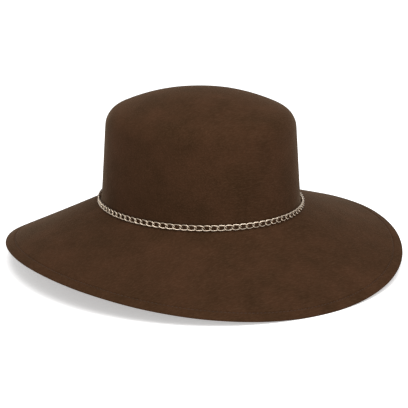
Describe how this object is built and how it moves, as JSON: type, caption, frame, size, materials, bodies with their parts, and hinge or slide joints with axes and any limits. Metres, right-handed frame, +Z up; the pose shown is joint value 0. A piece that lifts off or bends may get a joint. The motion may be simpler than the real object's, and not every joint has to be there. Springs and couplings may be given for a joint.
{
  "type": "wide-brimmed felt hat",
  "caption": "Felt hat with a low domed crown, a wide brim that dips at front and back, and a fine chain round the crown.",
  "frame": {"origin": "on the table that the hat stands on, below the middle of the hat's bounding box", "axes": "+Z up through the crown, -Y towards the front of the brim, +X towards the wearer's left"},
  "size_m": [0.363, 0.3649, 0.1559],
  "materials": {
    "felt": "matte brown wool felt with a short soft nap",
    "chain": "polished pale steel wire"
  },
  "bodies": {
    "root": {"felt_body": "felt", "crown_chain": "chain"}
  },
  "joints": []
}
